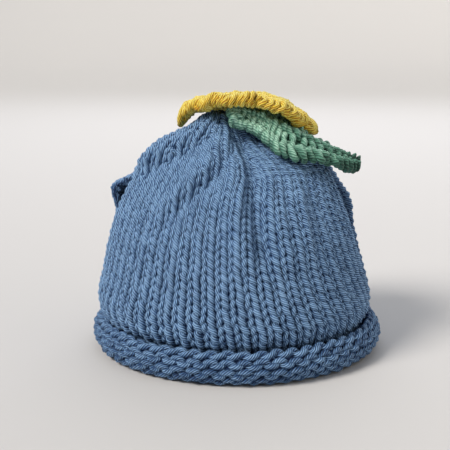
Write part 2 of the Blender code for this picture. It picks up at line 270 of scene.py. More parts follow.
@dataclass(frozen=True)
class CosyCloth:
    """The shape in which the two panels lie: the rolled hem, the wall and the gathered crown."""

    thickness: float = 4.4
    seam_gap: float = 0.4
    hem_radius: float = 56.9
    hem_curl: float = 5.25
    hem_squash: float = 0.97
    hem_start: float = 60.0
    hem_end: float = -200.0
    hem_step: float = 20.0
    hem_swell: float = 0.35
    wall_rows: float = 17.0
    flare_reach: float = 13.0
    fold_fade: float = 14.0
    drawn_radius: float = 3.0     # folds are gone where the crown is drawn in to this radius
    drawn_span: float = 16.0      # and full this much further out

    @property
    def hem_rows(self) -> float:
        """Rows of the curl."""
        return (self.hem_start - self.hem_end) / self.hem_step

    @property
    def last_row(self) -> float:
        """The row at the crown."""
        return self.hem_rows + self.wall_rows

    def hem_point(self, degrees: Array, azimuth: Array) -> Array:
        """Return (radius, height, lean) on the curl of the hem.

        Args:
            degrees: angles on the curl.
            azimuth: azimuths round the cosy.

        Returns:
            One row of three for each place.
        """
        turn = np.radians(azimuth)
        swell = self.hem_swell * (np.sin(2 * turn + 0.5) + 0.6 * np.sin(6 * turn)) / 1.6
        curl = self.hem_curl + 0.5 * swell
        angle = np.radians(degrees)
        radius = self.hem_radius + 0.8 * swell + curl * np.cos(angle)
        middle = self.hem_squash * (curl + self.thickness / 2)
        return np.stack([radius, middle + curl * np.sin(angle), 0 * radius], axis=1)

    def section(self, azimuth: Array, row: Array) -> Array:
        """Return (radius, height, lean) in the upright section, at a row counted from the edge.

        Args:
            azimuth: azimuths round the cosy.
            row: rows of the cloth, from 0 at the cast-on edge.

        Returns:
            One row of three for each place.
        """
        turn = np.radians(azimuth)
        path = [self.hem_point(self.hem_end + self.hem_step + 0 * azimuth, azimuth),
                self.hem_point(self.hem_end + 0 * azimuth, azimuth)]
        for station in STATIONS:
            reach = np.hypot(station.half_width * np.cos(turn), station.half_depth * np.sin(turn))
            radius = station.half_width * station.half_depth / reach
            path.append(np.stack([radius, station.height + 0 * radius, station.lean + 0 * radius], axis=1))
        rise = np.clip((row - self.hem_rows) / self.wall_rows, 0, 1)
        wall = through(np.array(path), 1 + rise * (len(path) - 2))
        curl = self.hem_point(self.hem_start - self.hem_step * row, azimuth)
        return np.where((row <= self.hem_rows)[:, None], curl, wall)

    def smooth_point(self, azimuth: Array, row: Array) -> Array:
        """Return the middle of the cloth, before the folds."""
        radius, height, lean = self.section(azimuth, row).T
        turn = np.radians(azimuth)
        return np.stack([lean + radius * np.sin(turn), -radius * np.cos(turn), height], axis=1)

    def smooth_normal(self, azimuth: Array, row: Array) -> Array:
        """Return the way the knit side of the cloth faces."""
        low, high = row - 0.05, np.minimum(row + 0.05, self.last_row)
        across = self.smooth_point(azimuth + 0.5, row) - self.smooth_point(azimuth - 0.5, row)
        along = self.smooth_point(azimuth, high) - self.smooth_point(azimuth, low)
        return unit(np.cross(across, along))

    def fold_rise(self, azimuth: Array, row: Array) -> Array:
        """Return how far the folds lift the cloth off the smooth wall."""
        radius, height, _ = self.section(azimuth, row).T
        total = np.zeros(len(row))
        for fold in FOLDS:
            part = smooth_step((height - fold.foot_height) / (fold.top_height - fold.foot_height))
            centre = fold.foot_azimuth + (fold.top_azimuth - fold.foot_azimuth) * part
            away = (azimuth - centre + 180) % 360 - 180
            distance = np.radians(away) * radius / fold.width
            grown = smooth_step((height - fold.foot_height) / self.fold_fade + 0.5)
            left = smooth_step((fold.top_height - height) / self.fold_fade + 0.5)
            total += fold.rise * grown * left * np.exp(-distance ** 2)
        fade = smooth_step((radius - self.drawn_radius) / self.drawn_span)
        return np.where(row <= self.hem_rows, 0.0, total * fade)

    def edge_azimuth(self, slit: Slit, row: Array, side: int) -> Array:
        """Return the azimuth of a panel's edge beside a slit; side is -1 before it and 1 past it."""
        radius, height, _ = self.section(np.full(len(row), float(slit.azimuth)), row).T
        part = np.clip((height - slit.bottom) / (slit.top - slit.bottom), 0, 1)
        opening = slit.width / 2 * np.sin(math.pi * part) ** 0.8
        opening = np.where(row > self.hem_rows, opening, 0.0)
        return slit.azimuth + side * np.degrees((opening + self.seam_gap / 2) / radius)

    def flare(self, reach: float, slit: Slit, distance: Array, height: Array) -> Array:
        """Return how far a panel is pushed out at a distance from its edge beside a slit."""
        rise = np.exp(-((height - slit.flare_height) / slit.flare_span) ** 2)
        return reach * rise * smooth_step(1 - distance / self.flare_reach)


@dataclass(frozen=True)
class PanelCloth:
    """One panel's cloth, on which a stitch's place is counted in wales and courses."""

    cloth: CosyCloth
    start_slit: Slit
    end_slit: Slit
    turns: int
    wales: int = 27
    hem_courses: int = 7
    wall_courses: int = 36
    least_wale: float = 0.3        # a wale narrower than this part of a full one is dropped
    decreases: tuple[float, float, float] = (9.5, 6.0, 3.2)  # where they are, in courses below the crown
    decrease_run: float = 2.0      # how many courses one takes
    samples: int = 400             # places at which the wall is measured, to make its courses even
    measured_at: float = 40.0      # the azimuth at which it is measured

    @property
    def courses(self) -> int:
        """Courses from the cast-on edge to the crown."""
        return self.hem_courses + self.wall_courses

    def row(self, course: Array) -> Array:
        """Turn a course into a row of the cloth, with the wall's courses of even height."""
        rows = np.linspace(self.cloth.hem_rows, self.cloth.last_row, self.samples)
        path = self.cloth.smooth_point(np.full(self.samples, self.measured_at), rows)
        length = np.concatenate([[0.0], np.cumsum(np.linalg.norm(np.diff(path, axis=0), axis=1))])
        wall = np.interp((course - self.hem_courses) / self.wall_courses * length[-1], length, rows)
        curl = course * self.cloth.hem_rows / self.hem_courses
        return np.where(course < self.hem_courses, curl, wall)

    def widths(self, course: Array) -> Array:
        """Return each wale's share of a full wale, as (places, wales), after the decreases.

        Two decrease rounds near the crown drop every third wale and then every other one, and a
        last one drops half of the rest.
        """
        wale = np.arange(self.wales)
        kept = [wale % 3 != 1, wale % 3 == 0, wale % 6 == 0]
        share = np.ones((len(course), self.wales))
        for stays, below in zip(kept, self.decreases):
            left = 1 - smooth_step((course - (self.courses - below)) / self.decrease_run + 0.5)
            share = np.where(stays[None, :], share, np.minimum(share, left[:, None]))
        return share + 1e-4

    def across(self, place: Array, course: Array) -> Array:
        """Return how far across the panel, 0 to 1, a place counted in wales lies."""
        share = self.widths(course)
        edges = np.concatenate([np.zeros((len(course), 1)), np.cumsum(share, axis=1)], axis=1)
        wale = np.clip(np.floor(place).astype(int), 0, self.wales - 1)
        each = np.arange(len(place))
        part = place - wale
        return (edges[each, wale] + part * share[each, wale]) / edges[:, -1]

    def point(self, place: Array, course: Array, lift: Array) -> tuple[Array, Array]:
        """Return points of the panel, and the way its knit side faces there.

        Args:
            place: wales from the panel's first edge.
            course: courses from the cast-on edge.
            lift: how far off the middle of the cloth, towards the knit side.

        Returns:
            The points and the normals.
        """
        row = self.row(course)
        start = self.cloth.edge_azimuth(self.start_slit, row, 1)
        end = self.cloth.edge_azimuth(self.end_slit, row, -1) + 360 * self.turns
        azimuth = start + (end - start) * self.across(place, course)
        radius, height, _ = self.cloth.section(azimuth, row).T
        raised = (lift + self.cloth.fold_rise(azimuth, row)
                  + self.cloth.flare(self.start_slit.flare_past, self.start_slit,
                                     np.radians(azimuth - start) * radius, height)
                  + self.cloth.flare(self.end_slit.flare_before, self.end_slit,
                                     np.radians(end - azimuth) * radius, height))
        normal = self.cloth.smooth_normal(azimuth, row)
        return self.cloth.smooth_point(azimuth, row) + normal * raised[:, None], normal


# ---------------------------------------------------------------------------- yarn
@dataclass
class Strand:
    """A length of yarn: its path, the way its flat side faces, and a tint along it, which holds random tone
    and painted light and shade.
    """

    points: Array
    normals: Array
    tint: Array
    closed: bool = False
    girth: Optional[Array] = None  # how thick it is at each point, against its full thickness


@dataclass(frozen=True)
class YarnFinish:
    """Spun acrylic and wool yarn of several plies: matt, fuzzy, with a twist that shows as slanting lines."""

    name: str
    light: str
    body: str
    shade: str
    plies: int = 7
    lead_mm: float = 9.5          # length in which a ply goes once round the yarn
    ply_share: float = 1.0        # how strongly the plies show
    shade_at: float = 0.22        # tone up to which the yarn has its darkest colour
    body_at: float = 0.58         # tone at which it has its own colour
    light_at: float = 0.95        # tone from which it has its lightest colour
    relief_mm: float = 0.42       # how far plies and fibres stand out
    base_tone: float = -0.20
    flank_painted_shade: float = -0.34     # painted shade: what the darker flanks of the yarn add to its tone
    ply_painted_light_and_shade: float = 0.50        # what the ridge of a ply adds: painted highlight on the ridge and painted shade in its groove
    fibre_tone: float = 1.00      # and a fibre
    patch_tone: float = 0.26      # and a patch
    lost_ply_tone: float = 0.30   # added where the plies show less, so that the yarn stays as light

    def build(self) -> bpy.types.Material:
        """Build the yarn's material from its along and around attributes.

        Returns:
            The material.
        """
        material, tree, shader = new_finish(self.name)
        along = add_node(tree, "ShaderNodeAttribute", {"attribute_name": "along"}).outputs["Fac"]
        around = add_node(tree, "ShaderNodeAttribute", {"attribute_name": "around"}).outputs["Vector"]
        tint = add_node(tree, "ShaderNodeAttribute", {"attribute_name": "tint"}).outputs["Fac"]
        out, flank = add_node(tree, "ShaderNodeSeparateXYZ", links={0: around}).outputs[:2]
        place = add_node(tree, "ShaderNodeTexCoord").outputs["Object"]
        angle = work_out(tree, "ARCTAN2", flank, out)
        turns = work_out(tree, "MULTIPLY", along, self.plies * TURN / (self.lead_mm * MM))
        phase = work_out(tree, "MULTIPLY_ADD", angle, float(self.plies), turns)
        # each ply is a round ridge with a sharp groove beside it, 1.4 mm apart, drawn a third
        # coarser than spun yarn so that the slanting lines show
        ply = add_node(tree, "ShaderNodeMapRange",
                       {"interpolation_type": "SMOOTHSTEP", 1: -1.0, 2: 0.7, 3: 0.0, 4: 1.0},
                       {0: work_out(tree, "COSINE", phase)}).outputs[0]
        # fibres run along the plies: noise that is drawn out in the direction of the ply, 0.8 mm
        # from fibre to fibre, far coarser than real ones so that they show
        fine = add_node(tree, "ShaderNodeTexNoise", {"Scale": 1.5 / MM, "Detail": 2.0},
                        {"Vector": place}).outputs[0]
        lane = work_out(tree, "MULTIPLY_ADD", phase, 0.33, work_out(tree, "MULTIPLY", fine, 1.2))
        reach = work_out(tree, "MULTIPLY", along, 0.30 / MM)
        streak = add_node(tree, "ShaderNodeCombineXYZ", links={0: lane, 1: reach, 2: tint}).outputs[0]
        fibre = add_node(tree, "ShaderNodeTexNoise", {"Scale": 1.0, "Detail": 3.0, "Roughness": 0.7},
                         {"Vector": streak}).outputs[0]
        # soft lighter and darker patches, 6 mm across, keep the fabric from looking even
        patch = add_node(tree, "ShaderNodeTexNoise", {"Scale": 0.16 / MM, "Detail": 2.0},
                         {"Vector": place}).outputs[0]
        # painted shade: the flanks of the yarn are painted darker, for the light lost in the fuzz between two
        # strands, and each ply is painted lighter on its ridge and darker in its groove, as painted highlight
        # and painted shade
        tone = self.base_tone + self.lost_ply_tone * (1 - self.ply_share)
        for value, weight in ((work_out(tree, "MULTIPLY", flank, flank), self.flank_painted_shade),
                              (ply, self.ply_painted_light_and_shade * self.ply_share), (fibre, self.fibre_tone),
                              (patch, self.patch_tone)):
            tone = work_out(tree, "MULTIPLY_ADD", value, weight, tone)
        # the tint adds random tone, and painted light and shade along the strands
        ramp = add_node(tree, "ShaderNodeValToRGB", links={0: work_out(tree, "ADD", tint, tone)})
        stops = ramp.color_ramp.elements
        stops[0].position, stops[0].color = self.shade_at, linear(self.shade)
        stops[1].position, stops[1].color = self.light_at, linear(self.light)
        middle = stops.new(self.body_at)
        middle.color = linear(self.body)
        tree.links.new(ramp.outputs[0], shader.inputs["Base Color"])
        # plies and fibres stand out a little, which breaks the yarn's highlights up
        relief = work_out(tree, "MULTIPLY_ADD", fibre, 0.9,
                          work_out(tree, "MULTIPLY", ply, self.ply_share))
        bump = add_node(tree, "ShaderNodeBump", {"Strength": 0.85, "Distance": self.relief_mm * MM},
                        {"Height": relief})
        tree.links.new(bump.outputs[0], shader.inputs["Normal"])
        shader.inputs["Roughness"].default_value = 0.62
        shader.inputs["Specular IOR Level"].default_value = 0.30
        shader.inputs["Sheen Weight"].default_value = 0.20
        shader.inputs["Sheen Roughness"].default_value = 0.55
        shader.inputs["Sheen Tint"].default_value = linear(self.light)
        return material


@dataclass(frozen=True)
class PaintedShadeFinish:
    """Painted shade seen between the stitches: the dark ground on the thin cloth inside the yarn fabric."""

    name: str
    colour: str

    def build(self) -> bpy.types.Material:
        """Build the material.

        Returns:
            The material.
        """
        material, tree, shader = new_finish(self.name)
        place = add_node(tree, "ShaderNodeTexCoord").outputs["Object"]
        # noise like felted fibres under a millimetre apart, which keeps the painted shade of the ground from
        # looking flat
        fuzz = add_node(tree, "ShaderNodeTexNoise", {"Scale": 1.2 / MM, "Detail": 3.0},
                        {"Vector": place}).outputs[0]
        shades = add_node(tree, "ShaderNodeMix",
                          {"data_type": "RGBA", "blend_type": "MULTIPLY", "Factor": 0.5})
        # the colour is painted shade, dark as the fabric is in shade between its stitches
        shades.inputs[6].default_value = linear(self.colour)
        tree.links.new(fuzz, shades.inputs[7])
        tree.links.new(shades.outputs[2], shader.inputs["Base Color"])
        bump = add_node(tree, "ShaderNodeBump", {"Strength": 0.6, "Distance": 0.3 * MM}, {"Height": fuzz})
        tree.links.new(bump.outputs[0], shader.inputs["Normal"])
        shader.inputs["Roughness"].default_value = 0.95
        return material


@dataclass(frozen=True)
class Yarn:
    """Yarn as it lies in a stitch, a little flattened, swept along its strands by Geometry Nodes."""

    width: float                  # in the plane of the cloth, in mm
    thickness: float              # through the cloth, in mm
    sides: int = 8

    def tree(self) -> bpy.types.NodeTree:
        """Build the node tree that turns paths with a lay into round yarn.

        Returns:
            The tree, with inputs Paths, Width, Thickness, Sides and Finish.
        """
        tree = bpy.data.node_groups.new("spin_yarn", "GeometryNodeTree")
        ask = tree.interface.new_socket
        ask("Paths", in_out="INPUT", socket_type="NodeSocketGeometry")
        for name, kind in (("Width", "NodeSocketFloat"), ("Thickness", "NodeSocketFloat"),
                           ("Sides", "NodeSocketInt"), ("Finish", "NodeSocketMaterial")):
            ask(name, in_out="INPUT", socket_type=kind)
        ask("Yarn", in_out="OUTPUT", socket_type="NodeSocketGeometry")
        given = add_node(tree, "NodeGroupInput").outputs
        curve = add_node(tree, "GeometryNodeMeshToCurve", links={0: given["Paths"]}).outputs[0]
        read = "GeometryNodeInputNamedAttribute"
        lay = add_node(tree, read, {"data_type": "FLOAT_VECTOR", "Name": "lay"}).outputs[0]
        girth = add_node(tree, read, {"data_type": "FLOAT", "Name": "girth"}).outputs[0]
        curve = add_node(tree, "GeometryNodeSetCurveNormal", {"mode": "FREE"},
                         {"Curve": curve, "Normal": lay}).outputs[0]
        length = add_node(tree, "GeometryNodeSplineParameter").outputs["Length"]
        curve = add_node(tree, "GeometryNodeStoreNamedAttribute",
                         {"data_type": "FLOAT", "domain": "POINT", "Name": "along"},
                         {"Geometry": curve, "Value": length}).outputs[0]
        ring = add_node(tree, "GeometryNodeCurvePrimitiveCircle", {"Radius": 1.0},
                        {"Resolution": given["Sides"]}).outputs[0]
        where = add_node(tree, "GeometryNodeInputPosition").outputs[0]
        ring = add_node(tree, "GeometryNodeStoreNamedAttribute",
                        {"data_type": "FLOAT_VECTOR", "domain": "POINT", "Name": "around"},
                        {"Geometry": ring, "Value": where}).outputs[0]
        size = add_node(tree, "ShaderNodeCombineXYZ",
                        links={0: given["Width"], 1: given["Thickness"]}).outputs[0]
        half = add_node(tree, "ShaderNodeVectorMath", {"operation": "SCALE", "Scale": 0.5},
                        {0: size}).outputs[0]
        ring = add_node(tree, "GeometryNodeTransform", links={"Geometry": ring, "Scale": half}).outputs[0]
        body = add_node(tree, "GeometryNodeCurveToMesh", {"Fill Caps": True},
                        {"Curve": curve, "Profile Curve": ring, "Scale": girth}).outputs[0]
        body = add_node(tree, "GeometryNodeSetShadeSmooth", links={0: body}).outputs[0]
        body = add_node(tree, "GeometryNodeRealizeInstances", links={0: body}).outputs[0]
        body = add_node(tree, "GeometryNodeSetMaterial",
                        links={"Geometry": body, "Material": given["Finish"]}).outputs[0]
        add_node(tree, "NodeGroupOutput", links={"Yarn": body})
        return tree

    def spin(self, name: str, strands: Sequence[Strand], finish: bpy.types.Material) -> bpy.types.Object:
        """Make one mesh of yarn along all the strands.

        Args:
            name: the piece's name.
            strands: paths in millimetres.
            finish: the yarn's material.

        Returns:
            The piece.
        """
        edges, count = [], 0
        for strand in strands:
            steps = np.arange(count, count + len(strand.points) - 1)
            edges.append(np.stack([steps, steps + 1], axis=1))
            if strand.closed:
                edges.append(np.array([[count + len(strand.points) - 1, count]]))
            count += len(strand.points)
        paths = bpy.data.meshes.new(name)
        points = np.concatenate([strand.points for strand in strands]) * MM
        paths.from_pydata(points.tolist(), np.concatenate(edges).tolist(), [])
        full = [np.ones(len(strand.points)) if strand.girth is None else strand.girth for strand in strands]
        for label, kind, field, values in (
                ("lay", "FLOAT_VECTOR", "vector", [strand.normals for strand in strands]),
                ("tint", "FLOAT", "value", [strand.tint for strand in strands]),
                ("girth", "FLOAT", "value", full)):
            attribute = paths.attributes.new(label, kind, "POINT")
            attribute.data.foreach_set(field, np.concatenate(values).ravel())
        guide = new_object(name + "_paths", paths)
        modifier = guide.modifiers.new("spin", "NODES")
        modifier.node_group = self.tree()
        values = {"Width": self.width * MM, "Thickness": self.thickness * MM, "Sides": self.sides,
                  "Finish": finish}
        for socket in modifier.node_group.interface.items_tree:
            if socket.in_out == "INPUT" and socket.name in values:
                modifier[socket.identifier] = values[socket.name]
        return plain_mesh(guide, name)


def plain_mesh(guide: bpy.types.Object, name: str) -> bpy.types.Object:
    """Turn an object with Geometry Nodes into a plain mesh object, and remove the guide.

    Args:
        guide: the object with its modifier.
        name: the new piece's name.

    Returns:
        The piece.
    """
    seen = guide.evaluated_get(bpy.context.evaluated_depsgraph_get())
    data = bpy.data.meshes.new_from_object(seen)
    data.name = name
    guide.modifiers.clear()
    bpy.data.objects.remove(guide, do_unlink=True)
    return new_object(name, data)


def cloth_sides(lay: Lay, columns: Array, rows: Array, thickness: float) -> tuple[Array, Array]:
    """Lay the two sides of a thin cloth on a grid of places.

    Args:
        lay: turns places and lifts into points and normals.
        columns: places along the cloth.
        rows: places across it.
        thickness: the cloth's thickness, in millimetres.

    Returns:
        The points of the side that the normals face, and of the other one, as (rows, columns, axes).
    """
    along, across = (grid.ravel() for grid in np.meshgrid(columns, rows))
    outer, inner = (lay(along, across, np.full(len(along), side * thickness))[0]
                    .reshape(len(rows), len(columns), 3) for side in (0.5, -0.5))
    return outer, inner


def sheet_mesh(name: str, outer: Array, inner: Array, finish: bpy.types.Material,
               round_about: bool = False) -> bpy.types.Object:
    """Make a thin closed sheet between two grids of points.

    Args:
        name: the piece's name.
        outer: the grid of the side that faces out, as (rows, columns, axes), in millimetres.
        inner: the grid of the other side.
        finish: the material.
        round_about: whether the last column joins the first one.

    Returns:
        The piece.
    """
    rows, columns = outer.shape[:2]
    count = rows * columns
    index = np.arange(count).reshape(rows, columns)
    if round_about:
        index = np.concatenate([index, index[:, :1]], axis=1)
    quads = np.stack([index[:-1, :-1], index[:-1, 1:], index[1:, 1:], index[1:, :-1]], axis=-1).reshape(-1, 4)
    if round_about:
        borders = [index[0, :-1], index[-1, :0:-1]]
    else:
        borders = [np.concatenate([index[0, :-1], index[:-1, -1], index[-1, :0:-1], index[:0:-1, 0]])]
    faces = [quads, quads[:, ::-1] + count]
    for border in borders:
        ahead = np.roll(border, -1)
        faces.append(np.stack([border, border + count, ahead + count, ahead], axis=1))
    data = bpy.data.meshes.new(name)
    points = np.concatenate([outer.reshape(-1, 3), inner.reshape(-1, 3)]) * MM
    data.from_pydata(points.tolist(), [], np.concatenate(faces).tolist())
    data.shade_smooth()
    data.materials.append(finish)
    return new_object(name, data)


# ---------------------------------------------------------------------------- knitting
@dataclass(frozen=True)
class Knitting:
    """Stocking stitch: how the yarn runs through one loop."""

    lean: float = 0.19            # how far a leg leans, as a part of a wale
    tall: float = 0.84            # half the height of a loop, as a part of a course
    flat: float = 1.0             # below 1 the tops and feet of the loops are flatter
    deep: float = 0.95            # how far legs and heads stand off the middle of the cloth, in mm
    steps: int = 12               # points in a stitch
    uneven: float = 0.07          # how uneven the hand knitting is, as a part of a stitch
    slip: float = 0.42            # how far wales slip against each other, in courses
    shading: float = 0.11         # painted shade: how much darker the yarn is painted deep in the fabric, for each mm, and lighter where it stands out
    least_height: float = 1.46    # the yarn's middle stays this far above the surface, in mm
    cord_rise: float = 0.18       # how far one leg of a loop stands out beyond the other, in mm
    edge_inset: float = 0.34      # where the edge stitches lie, in wales from the panel's edge
    cord_girth: float = 0.10      # how much thicker that leg looks than the middle of the loop
    ripple: float = 0.15          # how far stitches stand up and down at random, in mm
    tints: float = 0.06           # how much lighter or darker the yarn is from place to place
    edge_tints: float = 0.05      # and the same along the edges

    def course(self, panel: PanelCloth, number: int, rng: np.random.Generator) -> Strand:
        """Lay one course of loops across a panel.

        Args:
            panel: the cloth it lies on.
            number: the course, counted from the cast-on edge.
            rng: the random numbers for its unevenness.

        Returns:
            The strand.
        """
        count = panel.wales * self.steps + 1
        phase = np.linspace(0, panel.wales * TURN, count)
        knots = np.linspace(0, phase[-1], panel.wales * 2 + 1)
        side, height, depth, shade = (wander(phase, knots, rng) for _ in range(4))
        place = phase / TURN + self.lean * np.sin(2 * phase) + self.uneven * 0.6 * side
        place = np.clip(place, 0.02, panel.wales - 0.02)
        bow = np.cos(phase)
        course = number + 0.5 - self.tall * np.sign(bow) * np.abs(bow) ** self.flat + self.uneven * height
        course += self.drift(panel, place, number)
        course = np.clip(course, -0.3, panel.courses - 0.05)
        share = panel.widths(course)[np.arange(count), np.clip(place.astype(int), 0, panel.wales - 1)]
        cord = np.sin(phase)
        lift = -self.deep * np.cos(2 * phase) + self.cord_rise * cord + self.ripple * depth
        girth = 1 + self.cord_girth * cord
        keep = share > panel.least_wale
        points, normals = panel.point(place[keep], course[keep], lift[keep])
        points[:, 2] = np.maximum(points[:, 2], self.least_height * np.maximum(girth[keep], 1.02))
        # painted shade: the tint adds random tone, and darkens the yarn where it lies deep in the fabric
        tint = self.tints * shade[keep] + self.shading * lift[keep]
        return Strand(points, normals, tint, girth=girth[keep])

    def drift(self, panel: PanelCloth, place: Array, number: int) -> Array:
        """Return how far each wale has slipped against its neighbours, in courses."""
        wale = np.arange(panel.wales)
        slip = 0.6 * np.sin(wale * 2.4 + number * 0.11) + 0.4 * np.sin(wale * 4.1 + 1.3 - number * 0.07)
        fade = smooth_step(np.array((number - panel.hem_courses - 1) / 4.0))
        return self.slip * fade * np.interp(place, wale + 0.5, slip)

    def cast_on(self, panel: PanelCloth, rng: np.random.Generator) -> Strand:
        """Lay the cast-on edge, a strand that dips through the foot of each loop.

        Args:
            panel: the cloth it lies on.
            rng: the random numbers for its unevenness.

        Returns:
            The strand.
        """
        count = panel.wales * self.steps + 1
        phase = np.linspace(0, panel.wales * TURN, count)
        knots = np.linspace(0, phase[-1], panel.wales + 1)
        sway = wander(phase, knots, rng)
        place = np.clip(phase / TURN - 0.10 * np.sin(phase), 0.02, panel.wales - 0.02)
        course = 0.12 + 0.20 * np.sin(phase - 0.6) + self.uneven * sway
        lift = -self.deep * (0.5 - 0.9 * np.cos(phase))
        points, normals = panel.point(place, course, lift)
        points[:, 2] = np.maximum(points[:, 2], self.least_height)
        return Strand(points, normals, self.edge_tints * sway)

    def selvedge(self, panel: PanelCloth, side: int, rng: np.random.Generator) -> Strand:
        """Lay the edge stitches up one side of a panel, a strand that knots over every other course.

        Args:
            panel: the cloth it lies on.
            side: 0 for the panel's first edge and 1 for its last.
            rng: the random numbers for its unevenness.

        Returns:
            The strand.
        """
        count = panel.courses * 8 + 1
        course = np.linspace(0, panel.courses - 0.4, count)
        knots = np.arange(panel.courses + 1)
        sway, depth = (wander(course, knots, rng) for _ in range(2))
        phase = course * math.pi
        inset = self.edge_inset + 0.09 * np.cos(phase) + 0.02 * sway
        place = panel.wales - inset if side else inset
        lift = 0.35 + 0.75 * np.sin(2 * phase) + self.ripple * depth
        points, normals = panel.point(place, course, lift)
        points[:, 2] = np.maximum(points[:, 2], self.least_height)
        return Strand(points, normals, self.edge_tints * sway)


@dataclass
class KnittedPanel:
    """One knitted panel: its cloth, the stitches of its wall and those of its rolled hem."""

    name: str
    panel: PanelCloth
    seed: int
    cloth_thickness: float = 0.6
    knitting: Knitting = Knitting()
    hem_knitting: Knitting = Knitting(lean=0.235, tall=0.74, flat=0.7, deep=1.05, steps=14)
    yarn: Yarn = Yarn(width=3.2, thickness=2.7)
    hem_yarn: Yarn = Yarn(width=2.9, thickness=2.7)

    def build_cloth(self, finish: bpy.types.Material) -> bpy.types.Object:
        """Build the thin cloth that runs through the middle of the stitches.

        Args:
            finish: its material.

        Returns:
            The piece.
        """
        columns = np.linspace(0, self.panel.wales, 2 * self.panel.wales + 1)
        rows = np.linspace(0, self.panel.courses - 0.1, 2 * self.panel.courses)
        outer, inner = cloth_sides(self.panel.point, columns, rows, self.cloth_thickness)
        return sheet_mesh(self.name + "_cloth", outer, inner, finish)

    def build_stitches(self, finish: bpy.types.Material) -> list[bpy.types.Object]:
        """Build the yarn of the wall and of the rolled hem.

        Args:
            finish: the yarn's material.

        Returns:
            The two pieces.
        """
        rng = np.random.default_rng(self.seed)
        split = self.panel.hem_courses
        wall = [self.knitting.course(self.panel, number, rng) for number in range(split, self.panel.courses)]
        hem = [self.hem_knitting.course(self.panel, number, rng) for number in range(split)]
        hem.append(self.hem_knitting.cast_on(self.panel, rng))
        hem.extend(self.knitting.selvedge(self.panel, side, rng) for side in (0, 1))
        return [self.yarn.spin(self.name + "_wall_stitches", wall, finish),
                self.hem_yarn.spin(self.name + "_hem_stitches", hem, finish)]


# ---------------------------------------------------------------------------- crochet
class Row(NamedTuple):
    """A row of tall stitches: where across the cloth its feet and heads are, and where along it it runs."""

    count: int
    foot: float
    head: float
    start: float = 0.0
    end: float = 1.0
    closed: bool = False


class Chain(NamedTuple):
    """A chain of stitches: where across the cloth it runs, how far it swings, and its lift in mm."""

    count: int
    across: float
    width: float
    start: float = 0.0
    end: float = 1.0
    closed: bool = False
    lift: float = 0.0


